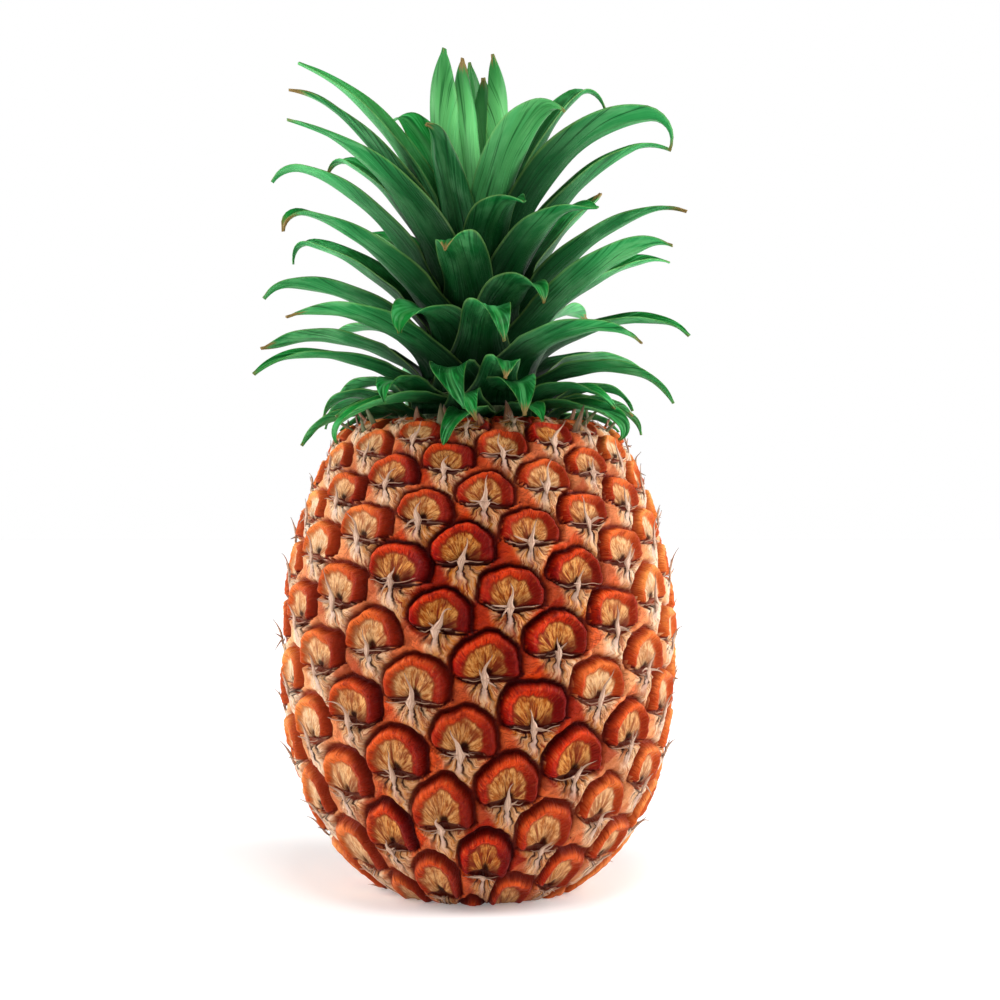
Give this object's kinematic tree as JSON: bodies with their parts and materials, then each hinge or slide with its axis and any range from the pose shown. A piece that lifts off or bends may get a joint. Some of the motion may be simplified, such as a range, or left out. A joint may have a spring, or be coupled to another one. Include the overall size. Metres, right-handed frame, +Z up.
{
  "type": "pineapple",
  "caption": "Whole fresh pineapple with its leafy crown, standing on the small flat spot at its base.",
  "frame": {"origin": "centre of the cut stalk's face, in the plane the fruit rests on", "axes": "+Z up along the fruit's axis to the crown, -Y the side that faces the viewer, +X to the viewer's right"},
  "size_m": [0.1321, 0.1255, 0.2529],
  "materials": {
    "fruit_skin": "satin",
    "cut_stalk": "matte",
    "crown_stem": "matte",
    "leaf_blade": "satin"
  },
  "bodies": {
    "root": {"fruit": "fruit_skin", "stem_stub": "cut_stalk", "crown_stem": "crown_stem", "leaf_01": "leaf_blade", "leaf_02": "leaf_blade", "leaf_03": "leaf_blade", "leaf_04": "leaf_blade", "leaf_05": "leaf_blade", "leaf_06": "leaf_blade", "leaf_07": "leaf_blade", "leaf_08": "leaf_blade", "leaf_09": "leaf_blade", "leaf_10": "leaf_blade", "leaf_11": "leaf_blade", "leaf_12": "leaf_blade", "leaf_13": "leaf_blade", "leaf_14": "leaf_blade", "leaf_15": "leaf_blade", "leaf_16": "leaf_blade", "leaf_17": "leaf_blade", "leaf_18": "leaf_blade", "leaf_19": "leaf_blade", "leaf_20": "leaf_blade", "leaf_21": "leaf_blade", "leaf_22": "leaf_blade", "leaf_23": "leaf_blade", "leaf_24": "leaf_blade", "leaf_25": "leaf_blade", "leaf_26": "leaf_blade", "leaf_27": "leaf_blade", "leaf_28": "leaf_blade", "leaf_29": "leaf_blade", "leaf_30": "leaf_blade", "leaf_31": "leaf_blade", "leaf_32": "leaf_blade", "leaf_33": "leaf_blade", "leaf_34": "leaf_blade", "leaf_35": "leaf_blade", "leaf_36": "leaf_blade", "leaf_37": "leaf_blade", "leaf_38": "leaf_blade", "leaf_39": "leaf_blade", "leaf_40": "leaf_blade", "leaf_41": "leaf_blade", "leaf_42": "leaf_blade", "leaf_43": "leaf_blade", "leaf_44": "leaf_blade", "leaf_45": "leaf_blade", "leaf_46": "leaf_blade", "leaf_47": "leaf_blade", "leaf_48": "leaf_blade", "leaf_49": "leaf_blade", "leaf_50": "leaf_blade", "leaf_51": "leaf_blade", "leaf_52": "leaf_blade", "leaf_53": "leaf_blade", "leaf_54": "leaf_blade", "leaf_55": "leaf_blade", "leaf_56": "leaf_blade", "leaf_57": "leaf_blade"}
  },
  "joints": []
}
